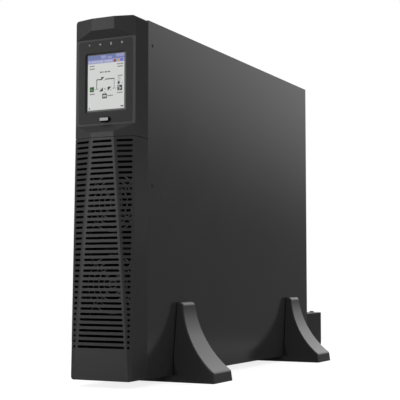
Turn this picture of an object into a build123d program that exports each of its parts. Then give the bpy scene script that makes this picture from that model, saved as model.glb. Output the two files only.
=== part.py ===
"""Rack-tower uninterruptible power supply standing upright on two pairs of clip-on stands.

The front faces -Y, +Z is up, and the origin is on the floor under the middle of the whole unit.
"""
import os
from math import atan2, degrees

from build123d import *

os.makedirs("parts", exist_ok=True)

# Sheet-metal case, standing on its narrow side
case_height = 440.0
case_width = 85.0
case_depth = 542.0
sheet = 1.5
cover_flange = 12.0
cover_screw_radius = 2.2
cover_screw_inset = 10.6
cover_screw_drop = 30.0
cover_screw_pitch = 174.8
ear_hole_radius = 2.1
ear_hole_inset = 25.0
ear_hole_across = 50.0
ear_hole_along = 25.0

# Moulded front
bezel_depth = 38.0
bezel_wall = 2.5
bezel_corner = 4.0
facet_side_top = 26.5
facet_side_bottom = 4.0
edge_setback = 7.0
lip_height = 15.2
recess_slope = 9.5
panel_height = 107.0
sill_height = 6.2
groove_gap = 0.5

# Vent slots of the lower front
slot_height = 3.0
slot_pitch = 6.52
slot_top_margin = 5.0
chin_height = 38.0
slot_web = 5.6
slot_edge = 3.0
slot_shortest = 3.6
slot_corner = 0.9

# Front plate of the case and its air windows
plate_vent_side = 11.0
plate_vent_height = 30.0
plate_vent_pitch = 40.0
plate_vent_count = 6
plate_vent_rise = 57.0

# Display panel
overlay_side = 4.3
overlay_margin = 2.3
overlay_thickness = 0.6
overlay_corner = 2.0
window_side = 8.9
window_height = 70.8
window_drop = 18.6
window_bevel = 1.8
window_corner = 1.2
screen_frame = 4.0
screen_thickness = 4.0
light_radius = 1.1
light_sides = 8
light_pitch = 15.5
light_count = 4
light_drop = 6.9
light_length = 6.0
light_proud = 0.2

# Power button in its well
button_width = 12.4
button_height = 4.4
button_corner = 1.2
button_rest = 1.7
button_drop = 100.3
button_travel = 1.5
button_collar = 1.2
collar_thickness = 1.5
button_clearance = 0.35
well_side = 1.2
well_wall = 1.5
well_depth = 4.5
well_floor = 1.5
fit_clearance = 0.2

# Stands
base_lift = 8.4
front_stand_inset = 62.0
rear_stand_inset = 54.0
stand_depth = 54.5
stand_height = 100.0
stand_reach = 59.4
stand_lean = 13.9
stand_trail = 8.0
fin_thickness = 9.0
fin_radius = 120.0
toe_height = 13.2
toe_draft = 1.5
toe_round = 5.0
fin_round = 5.5
stand_seam = 1.2
stand_edge = 1.6
relief_width = 10.5
relief_depth = 3.0
relief_height = 33.0
cut_margin = 1.0
stand_wall = 3.0
stand_core = 60.0

# Rear panel: fans, slots and sockets
fan_side_gap = 1.0
fan_wall = 2.0
fan_thickness = 25.0
fan_corner = 4.0
fan_hub = 18.0
hub_sides = 28
fan_tip_gap = 1.0
fan_blades = 7
blade_thickness = 1.8
blade_chord = 20.0
blade_angle = 42.0
blade_sink = 3.0
rotor_recess = 1.0
fan_struts = 3
strut_width = 5.0
strut_thickness = 3.0
fan_margin = 12.0
fan_gap = 6.0
fan_slot_height = 3.6
fan_slot_pitch = 6.4
fan_slot_margin = 2.0
fan_slot_shortest = 12.0
fan_spine = 6.0
card_side = 5.0
card_height = 34.0
card_thickness = 1.5
card_corner = 2.0
card_lip = 5.0
card_lip_width = 26.0
card_drop = 206.0

# Sockets and breaker on the rear panel
socket_drop = 250.0
serial_offset = 17.0
serial_flange_width = 30.8
serial_flange_height = 12.5
serial_flange = 0.8
serial_shell_width = 18.6
serial_shell_height = 10.4
serial_shell_wall = 0.8
serial_shell_reach = 5.6
serial_shell_angle = 80.0
usb_offset = 14.0
usb_width = 12.0
usb_height = 11.0
usb_reach = 1.2
usb_body = 10.0
usb_depth = 8.0
usb_wall = 1.6
usb_tongue_width = 5.2
usb_tongue_height = 2.8
epo_side = 10.0
epo_width = 11.0
epo_height = 9.0
epo_reach = 8.0
epo_hole = 3.4
epo_hole_depth = 4.0
epo_pitch = 5.0
battery_drop = 290.0
battery_width = 48.0
battery_height = 20.0
battery_reach = 14.0
battery_corner = 3.0
battery_pole = 13.0
battery_depth = 10.0
battery_pitch = 20.0
breaker_drop = 335.0
breaker_width = 36.0
breaker_height = 18.0
breaker_reach = 3.0
breaker_corner = 1.5
lever_width = 12.0
lever_root = 7.0
lever_tip = 3.0
lever_rise = 5.0
lever_reach = 10.0

# Terminal cover at the foot of the rear panel
terminal_reach = 71.0
terminal_rise = 8.6
terminal_height = 54.8
terminal_wall = 1.5
terminal_corner = 0.8
knockout_radius = 11.0
knockout_depth = 0.5
knockout_pitch = 38.0

# Places that follow from the sizes above
overall_depth = bezel_depth + case_depth + terminal_reach
half_width = case_width / 2
inner_width = case_width - 2 * sheet
y_face = -overall_depth / 2
y_case = y_face + bezel_depth
y_back = y_case + case_depth
y_panel = y_face + edge_setback
z_bottom = base_lift
z_top = z_bottom + case_height
z_middle = (z_bottom + z_top) / 2
z_lip = z_top - lip_height
z_panel_top = z_lip - recess_slope
z_panel_bottom = z_panel_top - panel_height
z_sill = z_panel_bottom - recess_slope
z_groove = z_sill - sill_height
facet_half_top = half_width - facet_side_top
facet_half_bottom = half_width - facet_side_bottom
facet_slope = edge_setback / facet_side_top
facet_spread = (facet_half_bottom - facet_half_top) / (z_groove - z_bottom)
inner_height = case_height - 4 * sheet
overlay_width = case_width - 2 * overlay_side
window_width = overlay_width - 2 * window_side - 2 * window_bevel
well_width = button_width + 2 * well_side
well_height = button_height + 2 * well_side
button_proud = button_travel + button_rest
plate_vent_width = inner_width - 2 * plate_vent_side
card_width = inner_width - 2 * card_side
fan_size = inner_width - 2 * fan_side_gap
fan_bore = fan_size - 2 * fan_wall
epo_offset = inner_width / 2 - epo_side


def facing(y):
    """Upright plane across the unit at depth y: sketch x is X, sketch y is Z, and it looks forward."""
    return Plane.XZ.offset(-y)


# Folded tray: far side, top and bottom in one sheet, with the rack ears' screw holes in top and bottom
with BuildPart() as chassis_tray:
    with BuildSketch(facing(y_case)):
        with Locations((-sheet / 2, z_middle)):
            Rectangle(case_width - sheet, case_height)
        with Locations((sheet / 2, z_middle)):
            Rectangle(case_width - sheet, case_height - 2 * sheet, mode=Mode.SUBTRACT)
    extrude(amount=-case_depth)
    ear_middle = y_case + ear_hole_inset + ear_hole_along / 2
    with BuildSketch(Plane.XY.offset(z_bottom)):
        with Locations((0, ear_middle)):
            with GridLocations(ear_hole_across, ear_hole_along, 2, 2):
                Circle(ear_hole_radius)
    extrude(amount=case_height, mode=Mode.SUBTRACT)
chassis_tray.part.label = "chassis_tray"
export_step(chassis_tray.part, "parts/chassis_tray.step")

# Cover: near side with a flange folded in under the tray's top and bottom
with BuildPart() as chassis_cover:
    with BuildSketch(facing(y_case)):
        with Locations((half_width - sheet / 2, z_middle)):
            Rectangle(sheet, case_height)
        with Locations((half_width - cover_flange / 2, z_middle)):
            Rectangle(cover_flange, case_height - 2 * sheet)
        with Locations((half_width - sheet - cover_flange / 2, z_middle)):
            Rectangle(cover_flange, inner_height, mode=Mode.SUBTRACT)
    extrude(amount=-case_depth)
    y_screw = y_case + cover_screw_inset
    z_screw = z_top - cover_screw_drop
    with BuildSketch(Plane.YZ.offset(half_width)):
        with Locations((y_screw, z_screw), (y_screw, z_screw - cover_screw_pitch)):
            Circle(cover_screw_radius)
    extrude(amount=-sheet, mode=Mode.SUBTRACT)
chassis_cover.part.label = "chassis_cover"
export_step(chassis_cover.part, "parts/chassis_cover.step")

# Front plate with its air windows behind the slots
with BuildPart() as front_plate:
    with BuildSketch(facing(y_case)):
        with Locations((0, z_middle)):
            Rectangle(inner_width, inner_height)
        vent_middle = z_bottom + plate_vent_rise + plate_vent_pitch * (plate_vent_count - 1) / 2
        with Locations((0, vent_middle)):
            with GridLocations(plate_vent_pitch, plate_vent_pitch, 1, plate_vent_count):
                Rectangle(plate_vent_width, plate_vent_height, mode=Mode.SUBTRACT)
    extrude(amount=-sheet)
front_plate.part.label = "front_plate"
export_step(front_plate.part, "parts/front_plate.step")


def front_body(wall, spread):
    """Faceted front as one block, drawn in by a wall; spread widens the centre facet downwards."""
    with BuildPart() as body:
        with BuildSketch(facing(y_case)):
            with Locations((0, z_middle)):
                RectangleRounded(case_width - 2 * wall, case_height - 2 * wall, bezel_corner - wall)
        extrude(amount=bezel_depth - wall)
        for side in (-1, 1):
            facet = Plane(
                origin=(side * facet_half_top, y_face, z_groove),
                z_dir=(side * facet_slope, -1, facet_slope * spread),
            )
            split(bisect_by=facet.offset(-wall), keep=Keep.BOTTOM)
    return body.part


# Upper front: lip, sunk display panel and sill
z_upper = z_groove + groove_gap / 2
recess_points = [
    (y_face - edge_setback, z_lip + recess_slope),
    (y_panel, z_panel_top),
    (y_panel, z_panel_bottom),
    (y_face - edge_setback, z_sill - recess_slope),
]
with BuildPart() as upper_cavity:
    add(front_body(bezel_wall, 0))
    split(bisect_by=Plane.XY.offset(z_upper + bezel_wall), keep=Keep.TOP)
    with BuildSketch(Plane.YZ):
        Polygon(*recess_points, align=None)
        offset(amount=bezel_wall, kind=Kind.INTERSECTION)
    extrude(amount=case_width, both=True, mode=Mode.SUBTRACT)

z_window = z_panel_top - window_drop - window_height / 2
z_lights = z_panel_top - light_drop
z_button = z_panel_top - button_drop
z_overlay = z_panel_top - panel_height / 2
overlay_height = panel_height - 2 * overlay_margin
screen_plane = facing(y_panel + bezel_wall)
window_rim = window_corner + window_bevel
window_taper = degrees(atan2(window_bevel, bezel_wall))

with BuildPart() as display_bezel:
    add(front_body(0, 0))
    split(bisect_by=Plane.XY.offset(z_upper), keep=Keep.TOP)
    with BuildSketch(Plane.YZ):
        Polygon(*recess_points, align=None)
    extrude(amount=case_width, both=True, mode=Mode.SUBTRACT)
    add(upper_cavity.part, mode=Mode.SUBTRACT)
    with BuildSketch(facing(y_panel)) as pocket:
        with Locations((0, z_overlay)):
            Rectangle(overlay_width, overlay_height)
        chamfer(pocket.vertices(), overlay_corner)
    extrude(amount=-overlay_thickness, mode=Mode.SUBTRACT)
    with BuildSketch(facing(y_panel)):
        with Locations((0, z_window)):
            RectangleRounded(window_width + 2 * window_bevel, window_height + 2 * window_bevel, window_rim)
    extrude(amount=-bezel_wall, taper=window_taper, mode=Mode.SUBTRACT)
    with BuildSketch(facing(y_panel)):
        with Locations((0, z_lights)):
            with GridLocations(light_pitch, light_pitch, light_count, 1):
                RegularPolygon(light_radius + fit_clearance, light_sides)
        with Locations((0, z_button)):
            SlotOverall(well_width, well_height)
    extrude(amount=-bezel_wall, mode=Mode.SUBTRACT)
display_bezel.part.label = "display_bezel"
export_step(display_bezel.part, "parts/display_bezel.step")

# Lower front: three columns of slots that follow the spreading centre facet
z_lower = z_groove - groove_gap / 2
with BuildPart() as lower_cavity:
    add(front_body(bezel_wall, facet_spread))
    split(bisect_by=Plane.XY.offset(z_lower - bezel_wall), keep=Keep.BOTTOM)


def slot_outline(length, height):
    """Slot with cut corners, centred where it is placed."""
    half_length = length / 2
    half_height = height / 2
    right = [
        (half_length - slot_corner, -half_height),
        (half_length, slot_corner - half_height),
        (half_length, half_height - slot_corner),
        (half_length - slot_corner, half_height),
    ]
    left = [(-x, -y) for x, y in right]
    return Polygon(*right, *left, align=None)


z_first_slot = z_groove - slot_top_margin
slot_rows = 1 + int((z_first_slot - z_bottom - chin_height) / slot_pitch)
slot_outer = half_width - slot_edge
with BuildPart() as grille_cover:
    add(front_body(0, facet_spread))
    split(bisect_by=Plane.XY.offset(z_lower), keep=Keep.BOTTOM)
    add(lower_cavity.part, mode=Mode.SUBTRACT)
    with BuildSketch(facing(y_case - bezel_depth / 2)):
        for row in range(slot_rows):
            z_row = z_first_slot - row * slot_pitch
            facet_half = facet_half_top + facet_spread * (z_groove - z_row)
            with Locations((0, z_row)):
                slot_outline(2 * facet_half - slot_web, slot_height)
            slot_inner = min(facet_half + slot_web / 2, slot_outer - slot_shortest)
            slot_middle = (slot_inner + slot_outer) / 2
            with Locations((-slot_middle, z_row), (slot_middle, z_row)):
                slot_outline(slot_outer - slot_inner, slot_height)
    extrude(amount=bezel_depth, mode=Mode.SUBTRACT)
grille_cover.part.label = "grille_cover"
export_step(grille_cover.part, "parts/grille_cover.step")

# Overlay sheet on the display panel
with BuildPart() as display_overlay:
    with BuildSketch(facing(y_panel + overlay_thickness)) as outline:
        with Locations((0, z_overlay)):
            Rectangle(overlay_width - 2 * fit_clearance, overlay_height - 2 * fit_clearance)
        chamfer(outline.vertices(), overlay_corner)
        with Locations((0, z_window)):
            RectangleRounded(
                window_width + 2 * window_bevel, window_height + 2 * window_bevel, window_rim, mode=Mode.SUBTRACT
            )
        with Locations((0, z_lights)):
            with GridLocations(light_pitch, light_pitch, light_count, 1):
                RegularPolygon(light_radius + fit_clearance, light_sides, mode=Mode.SUBTRACT)
        with Locations((0, z_button)):
            SlotOverall(well_width, well_height, mode=Mode.SUBTRACT)
    extrude(amount=overlay_thickness)
display_overlay.part.label = "display_overlay"
export_step(display_overlay.part, "parts/display_overlay.step")

# Colour screen clamped behind the panel
with BuildPart() as touchscreen:
    with BuildSketch(screen_plane):
        with Locations((0, z_window)):
            Rectangle(window_width + 2 * screen_frame, window_height + 2 * screen_frame)
    extrude(amount=-screen_thickness)
touchscreen.part.label = "touchscreen"
export_step(touchscreen.part, "parts/touchscreen.step")

# Status lights: short light guides through panel and overlay
with BuildPart() as status_lights:
    with BuildSketch(facing(y_panel - light_proud)):
        with Locations((0, z_lights)):
            with GridLocations(light_pitch, light_pitch, light_count, 1):
                RegularPolygon(light_radius, light_sides)
    extrude(amount=-light_length)
status_lights.part.label = "status_lights"
export_step(status_lights.part, "parts/status_lights.step")

# Black well behind the panel's opening, which guides the power button
y_well = y_panel + bezel_wall
with BuildPart() as button_well:
    with BuildSketch(facing(y_well)):
        with Locations((0, z_button)):
            Rectangle(well_width + 2 * well_wall, well_height + 2 * well_wall)
    extrude(amount=-well_depth - well_floor)
    with BuildSketch(facing(y_well)):
        with Locations((0, z_button)):
            Rectangle(well_width, well_height)
    extrude(amount=-well_depth, mode=Mode.SUBTRACT)
    with BuildSketch(facing(y_well)):
        with Locations((0, z_button)):
            Rectangle(button_width + 2 * button_clearance, button_height + 2 * button_clearance)
    extrude(amount=-well_depth - well_floor, mode=Mode.SUBTRACT)
button_well.part.label = "button_well"
export_step(button_well.part, "parts/button_well.step")

# Power button: cap through the well's floor, with a collar behind it
y_collar = y_well + well_depth + well_floor + button_clearance
with BuildPart() as power_button:
    with BuildSketch(facing(y_collar)):
        with Locations((0, z_button)):
            RectangleRounded(button_width, button_height, button_corner)
    extrude(amount=y_collar - y_panel + button_proud)
    with BuildSketch(facing(y_collar)):
        with Locations((0, z_button)):
            Rectangle(button_width + 2 * button_collar, button_height + 2 * button_collar)
    extrude(amount=-collar_thickness)
power_button.part.label = "power_button"
export_step(power_button.part, "parts/power_button.step")


def stand_outline(z_under):
    """Right half of a stand seen from the front: floor under the case, toe and swept fin."""
    x_fin = half_width + stand_seam
    x_crest = half_width + fin_thickness
    x_toe = half_width + stand_reach
    with BuildLine() as outline:
        Polyline(
            (x_crest, stand_height),
            (x_fin, stand_height),
            (x_fin, base_lift),
            (0, base_lift),
            (0, z_under),
            (x_toe, z_under),
            (x_toe - toe_draft, toe_height),
        )
        RadiusArc((x_toe - toe_draft, toe_height), (x_crest, stand_height), fin_radius)
    return outline.line


def stand_half(y_near):
    """Moulded right half of a stand: leaning front and back, round crest, hollow below with a cross rib."""
    lean = Plane(origin=(0, y_near, 0), z_dir=(0, -stand_height, stand_lean))
    trail = Plane(origin=(0, y_near + stand_depth, 0), z_dir=(0, stand_height, stand_trail))
    x_relief = half_width + stand_seam
    z_relief = base_lift + relief_height
    y_foot = y_near + stand_lean * base_lift / stand_height
    y_tip = y_near + stand_lean * z_relief / stand_height
    with BuildPart() as relief:
        with BuildSketch(Plane.XY.offset(base_lift), mode=Mode.PRIVATE) as foot:
            Polygon(
                (x_relief - cut_margin, y_foot - cut_margin),
                (x_relief + relief_width, y_foot - cut_margin),
                (x_relief - cut_margin, y_foot + relief_depth),
                align=None,
            )
        loft(sections=[foot.sketch.face(), Vertex(x_relief - cut_margin, y_tip - cut_margin, z_relief)])
    with BuildPart() as core:
        with BuildSketch(facing(y_near + stand_wall)):
            with BuildLine():
                add(stand_outline(-stand_wall))
            make_face()
            offset(amount=-stand_wall, kind=Kind.INTERSECTION, mode=Mode.REPLACE)
        extrude(amount=2 * stand_wall - stand_depth)
        split(bisect_by=lean.offset(-stand_wall), keep=Keep.BOTTOM)
        split(bisect_by=trail.offset(-stand_wall), keep=Keep.BOTTOM)
        split(bisect_by=Plane.XY.offset(stand_core), keep=Keep.BOTTOM)
        with BuildSketch(facing(y_near + (stand_depth + stand_wall) / 2)):
            Rectangle(2 * (half_width + stand_reach), 2 * stand_height)
        extrude(amount=stand_wall, mode=Mode.SUBTRACT)
    with BuildPart() as half:
        with BuildSketch(facing(y_near)):
            with BuildLine():
                add(stand_outline(0))
            make_face()
        extrude(amount=-stand_depth)
        split(bisect_by=lean, keep=Keep.BOTTOM)
        split(bisect_by=trail, keep=Keep.BOTTOM)
        crest = half.edges().filter_by(Axis.Y).group_by(Axis.Z)[-1].sort_by(Axis.X)[-1]
        fillet(crest, fin_round)
        toe = half.edges().filter_by(Axis.Y).group_by(Axis.X)[-2]
        fillet(toe, toe_round)
        curved = half.edges().filter_by(GeomType.ELLIPSE).sort_by(Axis.Y)
        chamfer(curved[: len(curved) // 2], stand_edge)
        add(relief.part, mode=Mode.SUBTRACT)
        add(core.part, mode=Mode.SUBTRACT)
    return half.part


with BuildPart() as front_stand_right:
    add(stand_half(y_case + front_stand_inset))
front_stand_right.part.label = "front_stand_right"
export_step(front_stand_right.part, "parts/front_stand_right.step")

with BuildPart() as front_stand_left:
    mirror(front_stand_right.part, about=Plane.YZ)
front_stand_left.part.label = "front_stand_left"
export_step(front_stand_left.part, "parts/front_stand_left.step")

with BuildPart() as rear_stand_right:
    add(stand_half(y_back - rear_stand_inset - stand_depth))
rear_stand_right.part.label = "rear_stand_right"
export_step(rear_stand_right.part, "parts/rear_stand_right.step")

with BuildPart() as rear_stand_left:
    mirror(rear_stand_right.part, about=Plane.YZ)
rear_stand_left.part.label = "rear_stand_left"
export_step(rear_stand_left.part, "parts/rear_stand_left.step")

# Rear panel with a round field of punched slots over each fan, and a cut-out for the USB socket
y_rear = y_back - sheet
z_fan_upper = z_top - fan_margin - fan_size / 2
z_fan_lower = z_fan_upper - fan_size - fan_gap
z_card = z_top - card_drop
z_sockets = z_top - socket_drop
fan_field = fan_bore / 2 - fan_slot_margin
fan_slot_rows = int(fan_field / fan_slot_pitch)
with BuildPart() as rear_panel:
    with BuildSketch(facing(y_rear)):
        with Locations((0, z_middle)):
            Rectangle(inner_width, inner_height)
        with Locations((usb_offset, z_sockets)):
            Rectangle(usb_width + 2 * fit_clearance, usb_height + 2 * fit_clearance, mode=Mode.SUBTRACT)
    extrude(amount=-sheet)
    with BuildSketch(facing(y_rear)):
        for row in range(-fan_slot_rows, fan_slot_rows + 1):
            rise = row * fan_slot_pitch
            chord = 2 * (fan_field**2 - rise**2) ** 0.5
            slot_length = (max(chord, 2 * fan_slot_shortest + fan_spine) - fan_spine) / 2
            slot_middle = (slot_length + fan_spine) / 2
            for z_fan in (z_fan_upper, z_fan_lower):
                with Locations((-slot_middle, z_fan + rise), (slot_middle, z_fan + rise)):
                    slot_outline(slot_length, fan_slot_height)
    extrude(amount=-sheet, mode=Mode.SUBTRACT)
rear_panel.part.label = "rear_panel"
export_step(rear_panel.part, "parts/rear_panel.step")


def fan_frame(z_fan):
    """Square moulded fan frame with its motor plate on three struts."""
    with BuildPart() as frame:
        with BuildSketch(facing(y_rear)) as outline:
            with Locations((0, z_fan)):
                Rectangle(fan_size, fan_size)
            chamfer(outline.vertices(), fan_corner)
            with Locations((0, z_fan)):
                Circle(fan_bore / 2, mode=Mode.SUBTRACT)
        extrude(amount=fan_thickness)
        with BuildSketch(facing(y_rear - fan_thickness + strut_thickness)):
            with Locations((0, z_fan)):
                RegularPolygon(fan_hub, hub_sides)
                with PolarLocations(fan_bore / 4, fan_struts):
                    Rectangle(fan_bore / 2 + fan_wall / 2, strut_width)
        extrude(amount=strut_thickness)
    return frame.part


def fan_rotor(z_fan):
    """Fan rotor: a hub on the motor plate and pitched blades that reach out to the tip gap."""
    y_hub = y_rear - fan_thickness + strut_thickness
    hub_length = fan_thickness - strut_thickness - rotor_recess
    blade_length = fan_bore / 2 - fan_tip_gap - fan_hub + blade_sink
    with BuildPart() as rotor:
        with BuildSketch(facing(y_hub)):
            with Locations((0, z_fan)):
                RegularPolygon(fan_hub, hub_sides)
        extrude(amount=-hub_length)
        y_blade = y_hub + hub_length / 2
        for step in range(fan_blades):
            turn = Plane(origin=(0, y_blade, z_fan), x_dir=(0, 1, 0), z_dir=(1, 0, 0))
            spoke = turn.rotated((0, step * 360 / fan_blades, 0))
            with BuildSketch(spoke.offset(fan_hub - blade_sink)):
                Rectangle(blade_chord, blade_thickness, rotation=blade_angle)
            extrude(amount=blade_length)
    return rotor.part


for place, z_fan in (("upper", z_fan_upper), ("lower", z_fan_lower)):
    with BuildPart() as frame:
        add(fan_frame(z_fan))
    frame.part.label = f"fan_frame_{place}"
    export_step(frame.part, f"parts/fan_frame_{place}.step")
    with BuildPart() as rotor:
        add(fan_rotor(z_fan))
    rotor.part.label = f"fan_rotor_{place}"
    export_step(rotor.part, f"parts/fan_rotor_{place}.step")

# Blank cover of the accessory-card slot, with a folded lip to pull it by
with BuildPart() as card_slot_cover:
    with BuildSketch(facing(y_back)) as outline:
        with Locations((0, z_card)):
            Rectangle(card_width, card_height)
        chamfer(outline.vertices(), card_corner)
    extrude(amount=-card_thickness)
    with BuildSketch(facing(y_back + card_thickness)):
        with Locations((0, z_card)):
            Rectangle(card_lip_width, card_thickness)
    extrude(amount=-card_lip)
card_slot_cover.part.label = "card_slot_cover"
export_step(card_slot_cover.part, "parts/card_slot_cover.step")

# Terminal cover: a thin box over the terminals, with two pressed knock-outs for the cables
z_terminal = z_bottom + terminal_rise + terminal_height / 2
with BuildPart() as terminal_cover:
    with BuildSketch(facing(y_back)) as outline:
        with Locations((0, z_terminal)):
            Rectangle(inner_width, terminal_height)
        chamfer(outline.vertices(), terminal_corner)
    extrude(amount=-terminal_reach)
    with BuildSketch(facing(y_back)):
        with Locations((0, z_terminal)):
            Rectangle(inner_width - 2 * terminal_wall, terminal_height - 2 * terminal_wall)
    extrude(amount=-terminal_reach + terminal_wall, mode=Mode.SUBTRACT)
    with BuildSketch(facing(y_back + terminal_reach)):
        with Locations((0, z_terminal)):
            with GridLocations(knockout_pitch, knockout_pitch, 2, 1):
                Circle(knockout_radius)
    extrude(amount=knockout_depth, mode=Mode.SUBTRACT)
terminal_cover.part.label = "terminal_cover"
export_step(terminal_cover.part, "parts/terminal_cover.step")

# Serial port: flange, D-shaped shell and its insert
with BuildPart() as serial_port:
    with BuildSketch(facing(y_back)):
        with Locations((-serial_offset, z_sockets)):
            Rectangle(serial_flange_width, serial_flange_height)
    extrude(amount=-serial_flange)
    with BuildSketch(facing(y_back + serial_flange)):
        with Locations((-serial_offset, z_sockets)):
            Trapezoid(serial_shell_width, serial_shell_height, serial_shell_angle)
            offset(amount=-serial_shell_wall, mode=Mode.SUBTRACT)
    extrude(amount=-serial_shell_reach)
serial_port.part.label = "serial_port"
export_step(serial_port.part, "parts/serial_port.step")

# USB socket: a shell through the rear panel, with a tongue inside
with BuildPart() as usb_port:
    with BuildSketch(facing(y_back + usb_reach)):
        with Locations((usb_offset, z_sockets)):
            Rectangle(usb_width, usb_height)
    extrude(amount=usb_body)
    with BuildSketch(facing(y_back + usb_reach)):
        with Locations((usb_offset, z_sockets)):
            Rectangle(usb_width - 2 * usb_wall, usb_height - 2 * usb_wall)
            Rectangle(usb_tongue_width, usb_tongue_height, mode=Mode.SUBTRACT)
    extrude(amount=usb_depth, mode=Mode.SUBTRACT)
usb_port.part.label = "usb_port"
export_step(usb_port.part, "parts/usb_port.step")

# Two-pole plug-in terminal for the emergency-off switch
with BuildPart() as epo_connector:
    with BuildSketch(facing(y_back)):
        with Locations((epo_offset, z_sockets)):
            Rectangle(epo_width, epo_height)
    extrude(amount=-epo_reach)
    with BuildSketch(facing(y_back + epo_reach)):
        with Locations((epo_offset, z_sockets)):
            with GridLocations(epo_pitch, epo_pitch, 2, 1):
                Rectangle(epo_hole, epo_hole)
    extrude(amount=epo_hole_depth, mode=Mode.SUBTRACT)
epo_connector.part.label = "epo_connector"
export_step(epo_connector.part, "parts/epo_connector.step")

# Two-pole socket for an external battery case
z_battery = z_top - battery_drop
with BuildPart() as battery_connector:
    with BuildSketch(facing(y_back)) as outline:
        with Locations((0, z_battery)):
            Rectangle(battery_width, battery_height)
        chamfer(outline.vertices(), battery_corner)
    extrude(amount=-battery_reach)
    with BuildSketch(facing(y_back + battery_reach)):
        with Locations((0, z_battery)):
            with GridLocations(battery_pitch, battery_pitch, 2, 1):
                Rectangle(battery_pole, battery_pole)
    extrude(amount=battery_depth, mode=Mode.SUBTRACT)
battery_connector.part.label = "battery_connector"
export_step(battery_connector.part, "parts/battery_connector.step")

# Input breaker and its lever
z_breaker = z_top - breaker_drop
with BuildPart() as input_breaker:
    with BuildSketch(facing(y_back)) as outline:
        with Locations((0, z_breaker)):
            Rectangle(breaker_width, breaker_height)
        chamfer(outline.vertices(), breaker_corner)
    extrude(amount=-breaker_reach)
input_breaker.part.label = "input_breaker"
export_step(input_breaker.part, "parts/input_breaker.step")

y_lever = y_back + breaker_reach
with BuildPart() as breaker_lever:
    with BuildSketch(Plane.YZ):
        Polygon(
            (y_lever, z_breaker - lever_root / 2),
            (y_lever + lever_reach, z_breaker + lever_rise - lever_tip / 2),
            (y_lever + lever_reach, z_breaker + lever_rise + lever_tip / 2),
            (y_lever, z_breaker + lever_root / 2),
            align=None,
        )
    extrude(amount=lever_width / 2, both=True)
breaker_lever.part.label = "breaker_lever"
export_step(breaker_lever.part, "parts/breaker_lever.step")
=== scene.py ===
import math

import bmesh
import bpy
from mathutils import Matrix, Vector


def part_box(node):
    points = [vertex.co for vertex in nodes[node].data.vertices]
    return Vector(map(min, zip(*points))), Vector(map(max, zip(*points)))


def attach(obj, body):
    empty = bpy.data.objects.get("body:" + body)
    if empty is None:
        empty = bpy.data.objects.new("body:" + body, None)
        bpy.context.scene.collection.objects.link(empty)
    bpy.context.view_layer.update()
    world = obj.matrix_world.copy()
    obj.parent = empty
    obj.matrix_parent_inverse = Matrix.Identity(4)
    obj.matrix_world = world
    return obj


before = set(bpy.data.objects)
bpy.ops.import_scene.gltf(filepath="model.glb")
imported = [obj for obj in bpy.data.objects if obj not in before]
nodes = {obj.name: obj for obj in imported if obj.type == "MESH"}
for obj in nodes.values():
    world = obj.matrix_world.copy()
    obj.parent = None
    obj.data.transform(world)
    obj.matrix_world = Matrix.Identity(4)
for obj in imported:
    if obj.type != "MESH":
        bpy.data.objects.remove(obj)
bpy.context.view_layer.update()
MM = 0.001


# Materials

def adder(tree):
    """A function that adds a node to a tree and sets what it is given."""
    def add(kind, **settings):
        node = tree.nodes.new(kind)
        for key, value in settings.items():
            setattr(node, key, value)
        return node

    return add


def graph(name):
    """A new material with its node tree, its principled shader and a function that adds a node."""
    mat = bpy.data.materials.new(name)
    mat.use_nodes = True
    tree = mat.node_tree
    return mat, tree, tree.nodes["Principled BSDF"], adder(tree)


def noise(tree, add, place, scale, detail, rough=0.5):
    """A noise over the object, with scale patches in a metre."""
    node = add("ShaderNodeTexNoise")
    node.inputs["Scale"].default_value = scale
    node.inputs["Detail"].default_value = detail
    node.inputs["Roughness"].default_value = rough
    tree.links.new(place.outputs["Object"], node.inputs["Vector"])
    return node.outputs["Fac"]


def between(tree, add, value, low, high, start, stop, **settings):
    """A value mapped to run from low to high as it goes from start to stop."""
    node = add("ShaderNodeMapRange", **settings)
    for key, number in (("From Min", start), ("From Max", stop), ("To Min", low), ("To Max", high)):
        node.inputs[key].default_value = number
    tree.links.new(value, node.inputs["Value"])
    return node.outputs["Result"]


def coloured(tree, add, value, first, second):
    """A colour that goes from the first to the second over the middle of a value's range."""
    node = add("ShaderNodeValToRGB")
    for stop, position, colour in zip(node.color_ramp.elements, (0.3, 0.7), (first, second)):
        stop.position = position
        stop.color = (*colour, 1)
    tree.links.new(value, node.inputs["Fac"])
    return node.outputs["Color"]


# Share of the fine grain in the gloss, the range that it and the patches span, and how far the gloss follows
GRAIN_SHARE = 0.25
MIXED_LOW = 0.4
MIXED_HIGH = 0.85
GLOSS_LEAST = 0.9
GLOSS_MOST = 1.12
RELIEF_STRENGTH = 0.6
# Where a flank's own roughness sets in: how far a face looks sideways, and its height in metres
FLANK_START = 0.5
FLANK_FULL = 0.9
FLANK_LOW = 0.16
FLANK_HIGH = 0.38


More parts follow.
